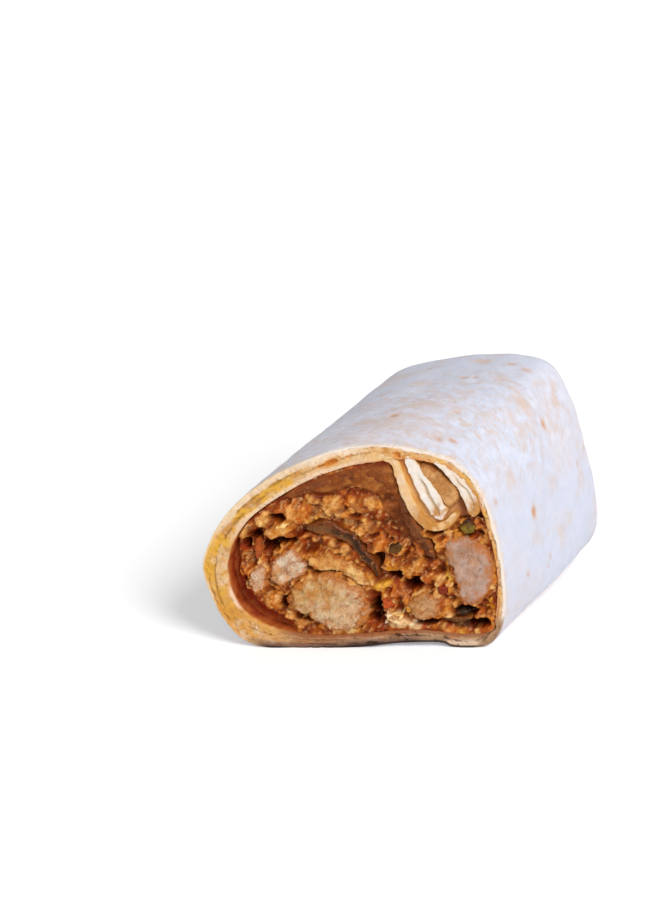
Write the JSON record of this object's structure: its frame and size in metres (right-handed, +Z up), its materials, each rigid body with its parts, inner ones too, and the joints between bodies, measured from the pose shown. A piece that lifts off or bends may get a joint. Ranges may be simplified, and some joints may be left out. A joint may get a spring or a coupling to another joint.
{
  "type": "wrap",
  "caption": "Half of a rolled flour tortilla wrap, cut on a slant to show chicken, onion and peppers in reddish sauce, with the other end folded shut.",
  "frame": {"origin": "middle of the part's bounding box, on the surface that the part lies on", "axes": "+Y along the roll, from the slanted cut to the folded end; +Z up from the surface that the part lies on; +X to the right as seen when facing the cut"},
  "size_m": [0.0768, 0.0867, 0.0606],
  "materials": {
    "tortilla": "soft matte flour tortilla, bluish white with tan toasted spots",
    "filling": "moist shredded chicken and vegetables in orange-brown sauce",
    "chicken": "moist cut chicken breast, pale inside and golden at its rim",
    "green_pepper": "soft cooked green pepper",
    "red_pepper": "soft cooked red pepper",
    "onion": "soft fried onion, brown and slightly see-through"
  },
  "bodies": {
    "root": {"tortilla": "tortilla", "filling": "filling", "chicken_large": "chicken", "chicken_right": "chicken", "chicken_left": "chicken", "chicken_far_left": "chicken", "chicken_low_right": "chicken", "chicken_strip": "chicken", "chicken_in_fold": "chicken", "green_pepper_top": "green_pepper", "green_pepper_middle": "green_pepper", "green_pepper_low": "green_pepper", "red_pepper_middle": "red_pepper", "red_pepper_right": "red_pepper", "onion_top": "onion", "onion_middle": "onion", "onion_right": "onion", "onion_left": "onion", "onion_low_right": "onion"}
  },
  "joints": []
}
